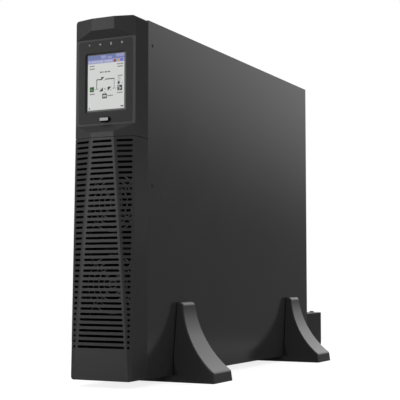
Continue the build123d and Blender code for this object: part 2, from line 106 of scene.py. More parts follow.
def finish_of(name, colour, rough, grain, relief, patch, spread, metal=0.0, spec=0.5, flank=None):
    """A surface with a fine grain in its relief and slow patches in its colour and gloss.

    grain is the size of the relief in metres, relief its height, patch the number of patches in a metre.
    flank is the roughness of faces that look sideways, where it differs: from FLANK_HIGH up, with none of it
    below FLANK_LOW.
    """
    mat, tree, shader, add = graph(name)
    place = add("ShaderNodeTexCoord")
    slow = noise(tree, add, place, patch, 4.0, 0.6)
    fine = noise(tree, add, place, 1 / grain, 3.0, 0.65)
    darker = tuple(c * (1 - spread) for c in colour)
    lighter = tuple(min(1.0, c * (1 + spread)) for c in colour)
    tree.links.new(coloured(tree, add, slow, darker, lighter), shader.inputs["Base Color"])
    mixed = add("ShaderNodeMath", operation="MULTIPLY_ADD")
    mixed.inputs[1].default_value = GRAIN_SHARE
    tree.links.new(fine, mixed.inputs[0])
    tree.links.new(slow, mixed.inputs[2])
    gloss = between(tree, add, mixed.outputs[0], rough * GLOSS_LEAST, rough * GLOSS_MOST, MIXED_LOW, MIXED_HIGH)
    if flank is not None:
        axes = add("ShaderNodeSeparateXYZ")
        tree.links.new(place.outputs["Normal"], axes.inputs[0])
        sideways = add("ShaderNodeMath", operation="ABSOLUTE")
        tree.links.new(axes.outputs["X"], sideways.inputs[0])
        extra = between(tree, add, sideways.outputs[0], 0.0, flank - rough, FLANK_START, FLANK_FULL)
        spot = add("ShaderNodeSeparateXYZ")
        tree.links.new(place.outputs["Object"], spot.inputs[0])
        upward = between(tree, add, spot.outputs["Z"], 0.0, 1.0, FLANK_LOW, FLANK_HIGH)
        total = add("ShaderNodeMath", operation="MULTIPLY_ADD")
        tree.links.new(extra, total.inputs[0])
        tree.links.new(upward, total.inputs[1])
        tree.links.new(gloss, total.inputs[2])
        gloss = total.outputs[0]
    tree.links.new(gloss, shader.inputs["Roughness"])
    bump = add("ShaderNodeBump")
    bump.inputs["Strength"].default_value = RELIEF_STRENGTH
    bump.inputs["Distance"].default_value = relief
    tree.links.new(fine, bump.inputs["Height"])
    tree.links.new(bump.outputs["Normal"], shader.inputs["Normal"])
    shader.inputs["Metallic"].default_value = metal
    shader.inputs["Specular IOR Level"].default_value = spec
    return mat


# The wave texture counts its bands in radians
BAND_TURN = 6.283


def glowing(name, colour, line=0.25 * MM, depth=0.05):
    """A lit surface with the faint line structure of a screen, line apart and depth darker."""
    mat, tree, shader, add = graph(name)
    place = add("ShaderNodeTexCoord")
    lines = add("ShaderNodeTexWave", wave_type="BANDS", bands_direction="Z")
    lines.inputs["Scale"].default_value = 1 / line / BAND_TURN
    lines.inputs["Distortion"].default_value = 0.0
    tree.links.new(place.outputs["Object"], lines.inputs["Vector"])
    dim = tuple(c * (1 - depth) for c in colour)
    light = coloured(tree, add, lines.outputs["Fac"], dim, colour)
    tree.links.new(light, shader.inputs["Emission Color"])
    shader.inputs["Emission Strength"].default_value = 1.0
    shader.inputs["Base Color"].default_value = (0.01, 0.01, 0.01, 1)
    shader.inputs["Roughness"].default_value = 0.35
    shader.inputs["Specular IOR Level"].default_value = 0.25
    return mat


def grey(level):
    return level, level, level


# Colour, roughness, grain and relief in millimetres, patches in a metre, their spread, and what else differs
SURFACES = {
    "case_paint": (grey(0.035), 0.15, 0.9, 0.004, 9.0, 0.06, {}),
    # front plate: near-black, darker than the black case paint, as painted shade of the case's inside seen
    # through the slots
    "inner_paint_and_shade": (grey(0.004), 0.60, 0.9, 0.010, 20.0, 0.15, {"spec": 0.2}),
    "rear_paint": (grey(0.020), 0.34, 0.9, 0.012, 12.0, 0.08, {"spec": 0.35}),
    # terminal cover: a darker copy of the black case paint, painted shade that makes its sides render darker
    "terminal_paint_shaded": (grey(0.011), 0.34, 0.9, 0.012, 12.0, 0.08, {"spec": 0.30}),
    "front_plastic": (grey(0.037), 0.30, 0.5, 0.025, 16.0, 0.05, {"spec": 0.2, "flank": 1.0}),
    "stand_plastic": (grey(0.045), 0.20, 0.6, 0.006, 18.0, 0.06, {"spec": 0.35}),
    "overlay_film": ((0.020, 0.020, 0.0205), 0.32, 0.25, 0.004, 20.0, 0.04, {"spec": 0.15}),
    # button well and button: near-black, the button's black plastic sides together with painted shade of the
    # well around it
    "well_plastic_and_shade": (grey(0.004), 0.50, 0.4, 0.010, 30.0, 0.10, {"spec": 0.2}),
    "button_plastic": (grey(0.40), 0.40, 0.3, 0.010, 40.0, 0.06, {}),
    "fan_plastic": ((0.014, 0.014, 0.015), 0.42, 0.5, 0.015, 30.0, 0.10, {}),
    "socket_plastic": (grey(0.012), 0.40, 0.4, 0.015, 40.0, 0.10, {}),
    "battery_plastic": ((0.16, 0.16, 0.165), 0.45, 0.4, 0.015, 40.0, 0.08, {}),
    "green_plastic": ((0.020, 0.20, 0.055), 0.40, 0.4, 0.012, 40.0, 0.08, {}),
    "smoke_plastic": ((0.020, 0.020, 0.022), 0.20, 0.4, 0.003, 60.0, 0.10, {}),
    "screen_glass": ((0.008, 0.008, 0.009), 0.16, 0.8, 0.002, 20.0, 0.05, {}),
    "zinc_steel": ((0.52, 0.52, 0.50), 0.34, 0.4, 0.008, 60.0, 0.15, {"metal": 1.0}),
    "black_zinc": ((0.045, 0.045, 0.047), 0.30, 0.4, 0.008, 60.0, 0.15, {"metal": 0.6}),
    "black_oxide": (grey(0.009), 0.50, 0.4, 0.008, 60.0, 0.15, {"spec": 0.2}),
    "nickel": ((0.62, 0.60, 0.56), 0.22, 0.3, 0.004, 60.0, 0.10, {"metal": 1.0}),
    "gold_contact": ((0.80, 0.62, 0.28), 0.28, 0.3, 0.004, 80.0, 0.10, {"metal": 1.0}),
    "white_ink": ((0.55, 0.55, 0.54), 0.50, 0.2, 0.004, 90.0, 0.08, {}),
    "guard_wire": (grey(0.30), 0.40, 0.4, 0.006, 60.0, 0.12, {}),
    # dust filter: near-black, as painted shade of the case's inside behind the slots
    "filter_foam_shade": (grey(0.006), 0.90, 0.7, 0.20, 80.0, 0.30, {"spec": 0.1}),
}
surface = {
    name: finish_of(name, colour, rough, grain * MM, relief * MM, patch, spread, **rest)
    for name, (colour, rough, grain, relief, patch, spread, rest) in SURFACES.items()
}
lit_mark = glowing("lit_mark", (0.24, 0.245, 0.25), 0.5 * MM, 0.12)

DRESSING = {
    "case_paint": ["chassis_cover"],
    "rear_paint": ["chassis_tray", "rear_panel", "card_slot_cover"],
    "terminal_paint_shaded": ["terminal_cover"],
    "inner_paint_and_shade": ["front_plate"],
    "front_plastic": ["display_bezel", "grille_cover"],
    "overlay_film": ["display_overlay"],
    "screen_glass": ["touchscreen"],
    "smoke_plastic": ["status_lights"],
    "well_plastic_and_shade": ["button_well", "power_button"],
    "stand_plastic": ["front_stand_right", "front_stand_left", "rear_stand_right", "rear_stand_left"],
    "fan_plastic": ["fan_frame_upper", "fan_frame_lower", "fan_rotor_upper", "fan_rotor_lower"],
    "nickel": ["serial_port"],
    "zinc_steel": ["usb_port"],
    "green_plastic": ["epo_connector"],
    "battery_plastic": ["battery_connector"],
    "socket_plastic": ["input_breaker", "breaker_lever"],
}
for finish, dressed in DRESSING.items():
    for node_name in dressed:
        mesh = nodes[node_name].data
        mesh.materials.clear()
        mesh.materials.append(surface[finish])


# Pieces

def piece(name, shape, mats, body="unit", smooth=None, flat=False):
    """A mesh object from a bmesh, riding on a body; a flat one keeps the side its faces were drawn from."""
    mesh = bpy.data.meshes.new(name)
    if not flat:
        bmesh.ops.recalc_face_normals(shape, faces=shape.faces)
    shape.to_mesh(mesh)
    shape.free()
    for mat in mats:
        mesh.materials.append(mat)
    if smooth is not None:
        mesh.shade_smooth()
        mesh.set_sharp_from_angle(angle=math.radians(smooth))
    thing = bpy.data.objects.new(name, mesh)
    bpy.context.scene.collection.objects.link(thing)
    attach(thing, body)
    return thing


# What the screen shows: a power-flow picture from flat tiles, each a hair in front of the last

window_low, window_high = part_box("touchscreen")
SCREEN_FRAME = 4.0 * MM
LIT_MARGIN_TOP = 1.0 * MM
LIT_MARGIN_LEFT = 0.7 * MM
LIT_MARGIN_RIGHT = 2.3 * MM
LIT_MARGIN_BOTTOM = 2.0 * MM
screen_left = window_low.x + SCREEN_FRAME + LIT_MARGIN_LEFT
screen_right = window_high.x - SCREEN_FRAME - LIT_MARGIN_RIGHT
screen_bottom = window_low.z + SCREEN_FRAME + LIT_MARGIN_BOTTOM
screen_top = window_high.z - SCREEN_FRAME - LIT_MARGIN_TOP
SCREEN_Y = window_low.y
LAYER = 0.04 * MM

SCREEN_COLOURS = {
    "ground": (0.60, 0.61, 0.60),
    "bar": (0.123, 0.157, 0.358),
    "row": (0.267, 0.277, 0.496),
    "pale": (0.45, 0.45, 0.62),
    "light": (0.68, 0.68, 0.74),
    "line": grey(0.045),
    "dark": (0.012, 0.016, 0.014),
    "green": (0.0, 0.060, 0.0),
    "leaf": (0.20, 0.40, 0.16),
    "red": (0.22, 0.012, 0.03),
    "yellow": (0.50, 0.33, 0.08),
    "blue": (0.08, 0.12, 0.60),
    "mist": grey(0.18),
}
picture_mats = [glowing(f"screen_{name}", colour) for name, colour in SCREEN_COLOURS.items()]
tint = {name: index for index, name in enumerate(SCREEN_COLOURS)}
picture = bmesh.new()


def shape_on_screen(points, colour, layer):
    """A flat polygon given in shares of the screen's width and height from its upper left corner."""
    corners = [
        picture.verts.new((
            screen_left + u * (screen_right - screen_left),
            SCREEN_Y - layer * LAYER,
            screen_top - v * (screen_top - screen_bottom),
        ))
        for u, v in points
    ]
    face = picture.faces.new(corners)
    face.material_index = tint[colour]


def tile(u0, v0, u1, v1, colour, layer=2):
    """A rectangle on the screen from its upper left to its lower right corner."""
    shape_on_screen([(u0, v0), (u0, v1), (u1, v1), (u1, v0)], colour, layer)


def disc(u, v, radius, colour, layer=3, sides=14):
    """A round spot on the screen, its radius as a share of the screen's width."""
    aspect = (screen_right - screen_left) / (screen_top - screen_bottom)
    turns = [math.tau * k / sides for k in reversed(range(sides))]
    ring = [(u + radius * math.cos(turn), v - radius * aspect * math.sin(turn)) for turn in turns]
    shape_on_screen(ring, colour, layer)


WORD_GAP = 0.05


def words(u0, u1, v, height, colour, gaps, layer=2):
    """A line of writing too small to read: short strokes of uneven length."""
    reach = u1 - u0
    start = 0.0
    for stop in gaps:
        tile(u0 + start * reach, v, u0 + (stop - WORD_GAP) * reach, v + height, colour, layer)
        start = stop


# Ground, title bar and status row
tile(0.0, 0.0, 1.0, 1.0, "ground", 1)
tile(0.0, 0.0, 1.0, 0.082, "bar", 2)
tile(0.0, 0.082, 1.0, 0.152, "row", 2)
tile(0.36, 0.012, 0.50, 0.066, "row", 3)
tile(0.54, 0.034, 0.66, 0.070, "row", 3)
tile(0.77, 0.0, 1.0, 0.058, "row", 3)
tile(0.025, 0.100, 0.060, 0.140, "pale", 3)
words(0.09, 0.44, 0.106, 0.026, "pale", (0.42, 0.64, 1.0), 3)
words(0.46, 0.68, 0.106, 0.026, "pale", (0.3, 0.75, 1.0), 3)
tile(0.71, 0.104, 0.770, 0.148, "red", 3)
tile(0.803, 0.102, 0.865, 0.146, "yellow", 3)
tile(0.894, 0.098, 0.957, 0.142, "blue", 3)
words(0.045, 0.19, 0.180, 0.022, "mist", (0.35, 0.7, 1.0))
words(0.045, 0.19, 0.232, 0.022, "mist", (0.5, 1.0))
words(0.80, 0.98, 0.180, 0.020, "mist", (0.25, 0.55, 1.0))
words(0.82, 0.96, 0.226, 0.022, "mist", (0.5, 1.0))
words(0.33, 0.63, 0.302, 0.026, "mist", (0.3, 0.45, 0.72, 1.0))

# Bypass line with its switch
LINE = 0.018
tile(0.237, 0.440, 0.237 + LINE, 0.628, "line")
tile(0.237, 0.440, 0.370, 0.440 + LINE, "line")
tile(0.470, 0.440, 0.732, 0.440 + LINE, "line")
tile(0.720, 0.440, 0.732, 0.628, "line")
tile(0.365, 0.405, 0.475, 0.485, "light", 3)
shape_on_screen([(0.365, 0.405), (0.365, 0.475), (0.465, 0.405)], "line", 4)
tile(0.430, 0.460, 0.475, 0.470, "line", 4)

# Input, converters, output
tile(0.054, 0.574, 0.172, 0.665, "green")
wave = [(0.068, 0.628), (0.090, 0.606), (0.112, 0.622), (0.132, 0.640), (0.155, 0.612)]
shape_on_screen(wave + [(u, v + 0.013) for u, v in reversed(wave)], "leaf", 3)
tile(0.190, 0.618, 0.222, 0.632, "mist")
tile(0.262, 0.618, 0.288, 0.632, "line")
shape_on_screen([(0.312, 0.668), (0.418, 0.668), (0.418, 0.592)], "dark", 2)
tile(0.325, 0.600, 0.350, 0.612, "mist")
arrow = [(0.452, 0.612), (0.474, 0.650), (0.496, 0.612), (0.486, 0.612), (0.474, 0.634), (0.462, 0.612)]
shape_on_screen(arrow, "line", 2)
shape_on_screen([(0.546, 0.592), (0.546, 0.668), (0.652, 0.592)], "dark", 2)
tile(0.612, 0.648, 0.650, 0.660, "mist")
tile(0.688, 0.622, 0.715, 0.636, "line")
tile(0.748, 0.622, 0.778, 0.636, "mist")
tile(0.814, 0.576, 0.946, 0.676, "line")
tile(0.838, 0.590, 0.868, 0.610, "light", 3)
tile(0.864, 0.624, 0.912, 0.642, "light", 3)
tile(0.856, 0.656, 0.878, 0.666, "light", 3)
disc(0.850, 0.536, 0.032, "dark")
tile(0.826, 0.430, 0.888, 0.512, "mist")
tile(0.838, 0.438, 0.876, 0.504, "ground", 3)
tile(0.925, 0.536, 0.960, 0.548, "mist")
words(0.82, 0.96, 0.396, 0.018, "mist", (0.4, 1.0))
words(0.80, 0.96, 0.704, 0.020, "mist", (0.3, 0.6, 1.0))
words(0.054, 0.20, 0.694, 0.024, "mist", (0.4, 0.7, 1.0))

# Battery
tile(0.456, 0.680, 0.480, 0.700, "mist")
tile(0.398, 0.716, 0.528, 0.800, "line")
tile(0.412, 0.706, 0.446, 0.716, "line")
tile(0.480, 0.706, 0.514, 0.716, "line")
tile(0.420, 0.742, 0.506, 0.776, "light", 3)
tile(0.428, 0.758, 0.498, 0.772, "mist", 4)
words(0.545, 0.70, 0.742, 0.022, "mist", (0.3, 0.75, 1.0))
tile(0.028, 0.952, 0.056, 0.982, "line", 3)
words(0.905, 0.985, 0.948, 0.024, "line", (0.5, 1.0), 3)
piece("screen_picture", picture, picture_mats, flat=True)


# Small parts, built once around the Z axis and then set down where they go

def turned(profile, sides):
    """A shape turned round Z from (radius, height) points, closed at both ends."""
    shape = bmesh.new()
    rings = []
    for radius, height in profile:
        rings.append([
            shape.verts.new((
                radius * MM * math.cos(math.tau * k / sides),
                radius * MM * math.sin(math.tau * k / sides),
                height * MM,
            ))
            for k in range(sides)
        ])
    for low, high in zip(rings, rings[1:]):
        for k in range(sides):
            shape.faces.new((low[k], low[(k + 1) % sides], high[(k + 1) % sides], high[k]))
    shape.faces.new(list(reversed(rings[0])))
    shape.faces.new(rings[-1])
    return shape


def block(width, depth, height, bevel=0.0):
    """A box standing on z = 0, sizes in millimetres, with its edges broken."""
    shape = bmesh.new()
    bmesh.ops.create_cube(shape, size=1.0)
    bmesh.ops.scale(shape, vec=(width * MM, depth * MM, height * MM), verts=shape.verts)
    bmesh.ops.translate(shape, vec=(0, 0, height * MM / 2), verts=shape.verts)
    if bevel:
        edges = list(shape.edges)
        bmesh.ops.bevel(shape, geom=edges, offset=bevel * MM, segments=2, affect="EDGES", profile=0.5)
    return shape


def carved(body, cutter):
    """One bmesh cut from another."""
    things = []
    for shape in (body, cutter):
        bmesh.ops.recalc_face_normals(shape, faces=shape.faces)
        mesh = bpy.data.meshes.new("carving")
        shape.to_mesh(mesh)
        shape.free()
        thing = bpy.data.objects.new("carving", mesh)
        bpy.context.scene.collection.objects.link(thing)
        things.append(thing)
    cut = things[0].modifiers.new("cut", "BOOLEAN")
    cut.operation = "DIFFERENCE"
    cut.solver = "EXACT"
    cut.object = things[1]
    bpy.context.view_layer.update()
    evaluated = things[0].evaluated_get(bpy.context.evaluated_depsgraph_get())
    cut_mesh = bpy.data.meshes.new_from_object(evaluated)
    result = bmesh.new()
    result.from_mesh(cut_mesh)
    for thing in things:
        mesh = thing.data
        bpy.data.objects.remove(thing)
        bpy.data.meshes.remove(mesh)
    bpy.data.meshes.remove(cut_mesh)
    return result


CUT_ROOM = 1.0
HEAD_SIDES = 28


def cross_cutter(arm, width, top, depth):
    """A plus-shaped bar that sinks into a screw's head."""
    half = width / 2
    quarter = [(arm, -half), (arm, half), (half, half)]
    ring = []
    for turn in range(4):
        ring += quarter
        quarter = [(-y, x) for x, y in quarter]
    cutter = bmesh.new()
    low, high = (
        [cutter.verts.new((x * MM, y * MM, height * MM)) for x, y in ring]
        for height in (top - depth, top + CUT_ROOM)
    )
    for k in range(len(ring)):
        after = (k + 1) % len(ring)
        cutter.faces.new((low[k], low[after], high[after], high[k]))
    cutter.faces.new(list(reversed(low)))
    cutter.faces.new(high)
    return cutter


def pan_screw(radius, height):
    """Pan-head screw with a cross recess, sitting on z = 0."""
    head = turned(
        [
            (radius * 0.98, -0.3), (radius, 0.0), (radius, height * 0.45), (radius * 0.93, height * 0.75),
            (radius * 0.74, height * 0.93), (radius * 0.42, height),
        ],
        HEAD_SIDES,
    )
    return carved(head, cross_cutter(radius * 0.58, radius * 0.24, height, height * 0.6))


def flat_screw(radius):
    """Countersunk screw with a cross recess, its face just under z = 0."""
    head = turned(
        [
            (radius * 0.5, -radius * 0.8), (radius, -0.08), (radius * 0.96, -0.02), (radius * 0.9, -0.01),
            (radius * 0.3, 0.0),
        ],
        HEAD_SIDES,
    )
    return carved(head, cross_cutter(radius * 0.52, radius * 0.17, 0.0, radius * 0.2))


def thumb_screw(radius, height, sides=48, groove=0.94, slot_depth=1.1):
    """Thumb screw with a slot, knurled by drawing in every other column of its rim."""
    head = turned(
        [
            (radius * 0.6, -0.2), (radius * 0.6, 0.8), (radius * 0.92, 1.0), (radius, 1.4),
            (radius, height - 0.4), (radius * 0.9, height),
        ],
        sides,
    )
    for vert in head.verts:
        on_rim = math.hypot(vert.co.x, vert.co.y) > radius * MM * 0.97
        column = round(math.atan2(vert.co.y, vert.co.x) / math.tau * sides)
        if on_rim and column % 2:
            vert.co.x *= groove
            vert.co.y *= groove
    slot = block(2.4 * radius, radius * 0.26, 2.0)
    bmesh.ops.translate(slot, vec=(0, 0, (height - slot_depth) * MM), verts=slot.verts)
    return carved(head, slot)


def jack_screw(radius, height):
    """Hexagonal post with a threaded hole."""
    bore = radius * 0.52
    post = turned([(radius, 0.0), (radius, height - 0.3), (radius * 0.88, height)], 6)
    hole = turned([(bore, height * 0.3), (bore, height - 0.2), (radius * 0.62, height + 0.5)], 20)
    return carved(post, hole)


def wire_ring(shape, radius, wire, centre, sides=64, around=8):
    """A ring of round wire lying flat, added to a bmesh."""
    loops = []
    for k in range(sides):
        turn = math.tau * k / sides
        loop = []
        for j in range(around):
            lean = math.tau * j / around
            reach = radius + wire * math.cos(lean)
            spot = Vector((reach * math.cos(turn), reach * math.sin(turn), wire * math.sin(lean)))
            loop.append(shape.verts.new((spot + Vector(centre)) * MM))
        loops.append(loop)
    for k in range(sides):
        near, far = loops[k], loops[(k + 1) % sides]
        for j in range(around):
            after = (j + 1) % around
            shape.faces.new((near[j], far[j], far[after], near[after]))


# Spokes of a fan guard and the heights of its wires, in radii of the ring wire; its eyes in millimetres
SPOKE_WIRE = 0.8
SPOKE_LIFT = 1.5
RING_LIFT = 3.2
EYE_RADIUS = 2.5
EYE_WIRE = 0.8
EYE_GAP = 2.2


def fan_guard(radii, wire, bolt):
    """Finger guard of a fan: wire rings on four spokes that end in eyes at the corners."""
    shape = bmesh.new()
    corner = bolt * math.sqrt(2)
    for radius in radii:
        wire_ring(shape, radius, wire, (0, 0, RING_LIFT * wire))
    for quarter in range(4):
        turn = Matrix.Rotation(math.pi / 4 + quarter * math.pi / 2, 4, "Z")
        spoke = turned([(wire * SPOKE_WIRE, radii[0]), (wire * SPOKE_WIRE, corner - EYE_GAP)], 10)
        lift = Matrix.Translation((0, 0, SPOKE_LIFT * wire * MM))
        bmesh.ops.transform(spoke, matrix=lift @ turn @ Matrix.Rotation(math.pi / 2, 4, "Y"), verts=spoke.verts)
        mesh = bpy.data.meshes.new("spoke")
        spoke.to_mesh(mesh)
        spoke.free()
        shape.from_mesh(mesh)
        bpy.data.meshes.remove(mesh)
        eye = turn @ Vector((corner, 0, 0))
        wire_ring(shape, EYE_RADIUS, EYE_WIRE, (eye.x, eye.y, EYE_WIRE), 24)
    return shape


# Turns that point a small part's Z axis out of the back, the front, the cover's side or the top
BACK = Matrix.Rotation(-math.pi / 2, 4, "X")
FRONT = Matrix.Rotation(math.pi / 2, 4, "X")
RIGHT = Matrix.Rotation(math.pi / 2, 4, "Y")
UP = Matrix.Identity(4)


def set_down(name, shape, spots, finish, turn=UP, smooth=35, body="unit", spin=37):
    """Copies of one small shape as a single piece, each turned further by spin degrees about its own axis."""
    source = bpy.data.meshes.new("small_part")
    shape.to_mesh(source)
    shape.free()
    whole = bmesh.new()
    for count, spot in enumerate(spots):
        part = bmesh.new()
        part.from_mesh(source)
        twist = Matrix.Rotation(math.radians(spin * count % 90), 4, "Z")
        place = Matrix.Translation(Vector(spot) * MM)
        bmesh.ops.transform(part, matrix=place @ turn @ twist, verts=part.verts)
        copy = bpy.data.meshes.new("small_copy")
        part.to_mesh(copy)
        part.free()
        whole.from_mesh(copy)
        bpy.data.meshes.remove(copy)
    bpy.data.meshes.remove(source)
    piece(name, whole, [surface[finish]], body, smooth)


def mm_box(node):
    """The two corners of a node's box, in millimetres."""
    low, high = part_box(node)
    return low / MM, high / MM


def middle(low, high):
    return (low + high) / 2


FLUSH = 0.02
PRINT = 0.03

# Blackened screws of the cover, flush in their holes near its front edge
cover_low, cover_high = mm_box("chassis_cover")
COVER_SCREW = 2.17
COVER_SCREW_INSET = 10.6
COVER_SCREW_DROPS = (30.0, 204.8)
set_down(
    "cover_screws", flat_screw(COVER_SCREW),
    [(cover_high.x - FLUSH, cover_low.y + COVER_SCREW_INSET, cover_high.z - drop) for drop in COVER_SCREW_DROPS],
    "black_oxide", RIGHT, 15,
)

# Behind the slots: finger guards of two fans on posts of the front plate
plate_low, plate_high = mm_box("front_plate")
GUARD_HEIGHTS = (123.0, 223.0)
GUARD_RADII = (5.0, 12.6, 20.2, 27.8, 35.4)
GUARD_WIRE = 0.85
GUARD_BOLT = 35.75
GUARD_POST = 8.0
GUARD_SCREW_LIFT = 1.7
guard_y = plate_low.y - GUARD_POST
bolt_spots = [
    (side * GUARD_BOLT, z + rise * GUARD_BOLT) for z in GUARD_HEIGHTS for side in (-1, 1) for rise in (-1, 1)
]
set_down(
    "fan_guards", fan_guard(GUARD_RADII, GUARD_WIRE, GUARD_BOLT), [(0.0, guard_y, z) for z in GUARD_HEIGHTS],
    "guard_wire", FRONT, 40, spin=0,
)
set_down(
    "guard_posts", jack_screw(3.2, GUARD_POST), [(x, plate_low.y, z) for x, z in bolt_spots],
    "black_zinc", FRONT, 30,
)
set_down(
    "guard_screws", pan_screw(3.0, 1.8), [(x, guard_y - GUARD_SCREW_LIFT, z) for x, z in bolt_spots],
    "black_zinc", FRONT,
)

# Pleated dust filter behind the front plate, a zigzag sheet of FILTER_THICK along the case; its near-black foam
# is painted shade of the inside behind the slots
PLEAT = 4.0
PLEAT_DEPTH = 9.0
FILTER_THICK = 0.8
FILTER_SIDE = 5.0
FILTER_LOW = 44.0
FILTER_FOLDS = 62
filter_sides = (plate_low.x + FILTER_SIDE, plate_high.x - FILTER_SIDE)
pleats = bmesh.new()
for face_offset in (0.0, FILTER_THICK):
    rows = []
    for fold in range(FILTER_FOLDS + 1):
        y = plate_high.y + face_offset + (PLEAT_DEPTH if fold % 2 else 0.0)
        z = FILTER_LOW + fold * PLEAT
        rows.append([pleats.verts.new((x * MM, y * MM, z * MM)) for x in filter_sides])
    for low, high in zip(rows, rows[1:]):
        pleats.faces.new((low[0], low[1], high[1], high[0]))
bmesh.ops.bridge_loops(pleats, edges=[edge for edge in pleats.edges if edge.is_boundary])
piece("dust_filter", pleats, [surface["filter_foam_shade"]])

# Screws of the rear panel and of the fans behind it
rear_high = mm_box("rear_panel")[1]
REAR_SCREW_INSET = 4.5
REAR_SCREW_DROPS = (4.5, 176.0, 330.0)
FAN_SCREW_INSET = 4.5
rear_x = rear_high.x - REAR_SCREW_INSET
set_down(
    "rear_panel_screws", pan_screw(2.7, 1.7),
    [(side * rear_x, rear_high.y, rear_high.z - drop) for side in (-1, 1) for drop in REAR_SCREW_DROPS],
    "black_zinc", BACK,
)
fan_spots = []
for fan in ("fan_frame_upper", "fan_frame_lower"):
    fan_low, fan_high = mm_box(fan)
    for x in (fan_low.x + FAN_SCREW_INSET, fan_high.x - FAN_SCREW_INSET):
        for z in (fan_low.z + FAN_SCREW_INSET, fan_high.z - FAN_SCREW_INSET):
            fan_spots.append((x, rear_high.y, z))
set_down("fan_screws", pan_screw(3.1, 1.6), fan_spots, "black_zinc", BACK)

# Thumb screws of the card slot, screws on top of the terminal cover
card_low, card_high = mm_box("card_slot_cover")
CARD_SHEET = 1.5
CARD_SCREW_INSET = 6.5
card_z = middle(card_low.z, card_high.z)
set_down(
    "card_thumb_screws", thumb_screw(4.0, 6.0),
    [
        (x, card_low.y + CARD_SHEET, card_z)
        for x in (card_low.x + CARD_SCREW_INSET, card_high.x - CARD_SCREW_INSET)
    ],
    "nickel", BACK, 30,
)
term_low, term_high = mm_box("terminal_cover")
TERMINAL_SCREW_BACK = 58.0
TERMINAL_SCREW_SIDE = 12.0
set_down(
    "terminal_cover_screws", pan_screw(3.75, 2.2),
    [
        (x, term_low.y + TERMINAL_SCREW_BACK, term_high.z)
        for x in (term_low.x + TERMINAL_SCREW_SIDE, term_high.x - TERMINAL_SCREW_SIDE)
    ],
    "black_zinc", UP,
)

# Serial port: jack posts and nine pins in two rows
serial_low, serial_high = mm_box("serial_port")
SERIAL_FLANGE = 0.8
JACK_SIDE = 12.5
PIN_PITCH = 2.77
PIN_ROW = 1.42
serial_x = middle(serial_low.x, serial_high.x)
serial_y = serial_low.y + SERIAL_FLANGE
serial_z = middle(serial_low.z, serial_high.z)
set_down(
    "serial_jack_posts", jack_screw(2.75, 5.0),
    [(serial_x - JACK_SIDE, serial_y, serial_z), (serial_x + JACK_SIDE, serial_y, serial_z)],
    "nickel", BACK, 30,
)
pin_spots = [(serial_x + (k - 2) * PIN_PITCH, serial_y, serial_z - PIN_ROW) for k in range(5)]
pin_spots += [(serial_x + (k - 1.5) * PIN_PITCH, serial_y, serial_z + PIN_ROW) for k in range(4)]
set_down(
    "serial_pins", turned([(0.5, 0.0), (0.5, 4.0), (0.42, 4.4), (0.15, 4.6)], 14),
    pin_spots, "gold_contact", BACK,
)

# Contacts of the USB port, clamp screws of the emergency-off terminal, blades of the battery socket
usb_low, usb_high = mm_box("usb_port")
USB_DEPTH = 7.5
USB_SIDE = 1.2
USB_ROW = 1.5
usb_x = middle(usb_low.x, usb_high.x)
usb_z = middle(usb_low.z, usb_high.z)
set_down(
    "usb_contacts", block(0.9, 0.25, 5.5, 0.05),
    [
        (usb_x + x, usb_high.y - USB_DEPTH, usb_z + z)
        for x in (-USB_SIDE, USB_SIDE) for z in (-USB_ROW, USB_ROW)
    ],
    "gold_contact", BACK, None, spin=0,
)
epo_low, epo_high = mm_box("epo_connector")
CLAMP_SIDE = 2.5
CLAMP_BACK = 4.0
epo_x = middle(epo_low.x, epo_high.x)
clamp_head = carved(turned([(1.6, -0.2), (1.6, 0.3), (1.35, 0.5)], 24), block(4.0, 0.5, 2.0))
set_down(
    "epo_clamp_screws", clamp_head,
    [(x, epo_low.y + CLAMP_BACK, epo_high.z) for x in (epo_x - CLAMP_SIDE, epo_x + CLAMP_SIDE)],
    "nickel", UP, 30,
)
pole_low, pole_high = mm_box("battery_connector")
POLE_SIDE = 10.0
POLE_FLOOR = 4.0
pole_z = middle(pole_low.z, pole_high.z)
set_down(
    "battery_blades", block(8.4, 2.2, 7.0, 0.35),
    [(x, pole_low.y + POLE_FLOOR, pole_z) for x in (-POLE_SIDE, POLE_SIDE)],
    "nickel", BACK, None, spin=0,
)

# Pale face let into the front of the power button
button_low, button_high = mm_box("power_button")
CAP_MARGIN = 1.2 + 0.35
CAP_THICK = 0.35
CAP_BEVEL = 0.12
cap_width = button_high.x - button_low.x - 2 * CAP_MARGIN
cap_height = button_high.z - button_low.z - 2 * CAP_MARGIN
cap_spot = (middle(button_low.x, button_high.x), button_low.y + FLUSH, middle(button_low.z, button_high.z))
set_down(
    "button_face", block(cap_width, cap_height, CAP_THICK, CAP_BEVEL), [cap_spot],
    "button_plastic", FRONT, None, "button",
)


def print_on(shape, ring, centre, turn):
    """A flat printed outline, given by points in millimetres around a centre."""
    shape.faces.new([
        shape.verts.new((turn @ Vector((x * MM, z * MM, 0))) + Vector(centre) * MM) for x, z in ring
    ])


# On and off marks of the breaker, a bar and a ring printed on its face
breaker_low, breaker_high = mm_box("input_breaker")
MARK_X = 12.0
MARK_RISE = 4.6
MARK_RADIUS = 1.7
MARK_HALF_STROKE = 0.35
MARK_INSIDE = 0.62
MARK_SIDES = 24
mark_y = breaker_high.y + PRINT
breaker_z = middle(breaker_low.z, breaker_high.z)
marks = bmesh.new()
bar = [
    (-MARK_HALF_STROKE, -MARK_RADIUS), (MARK_HALF_STROKE, -MARK_RADIUS),
    (MARK_HALF_STROKE, MARK_RADIUS), (-MARK_HALF_STROKE, MARK_RADIUS),
]
print_on(marks, bar, (MARK_X, mark_y, breaker_z + MARK_RISE), BACK)
mark_turns = [math.tau * k / MARK_SIDES for k in range(MARK_SIDES)]
outer = [(MARK_RADIUS * math.cos(turn), MARK_RADIUS * math.sin(turn)) for turn in mark_turns]
inner = [(x * MARK_INSIDE, z * MARK_INSIDE) for x, z in outer]
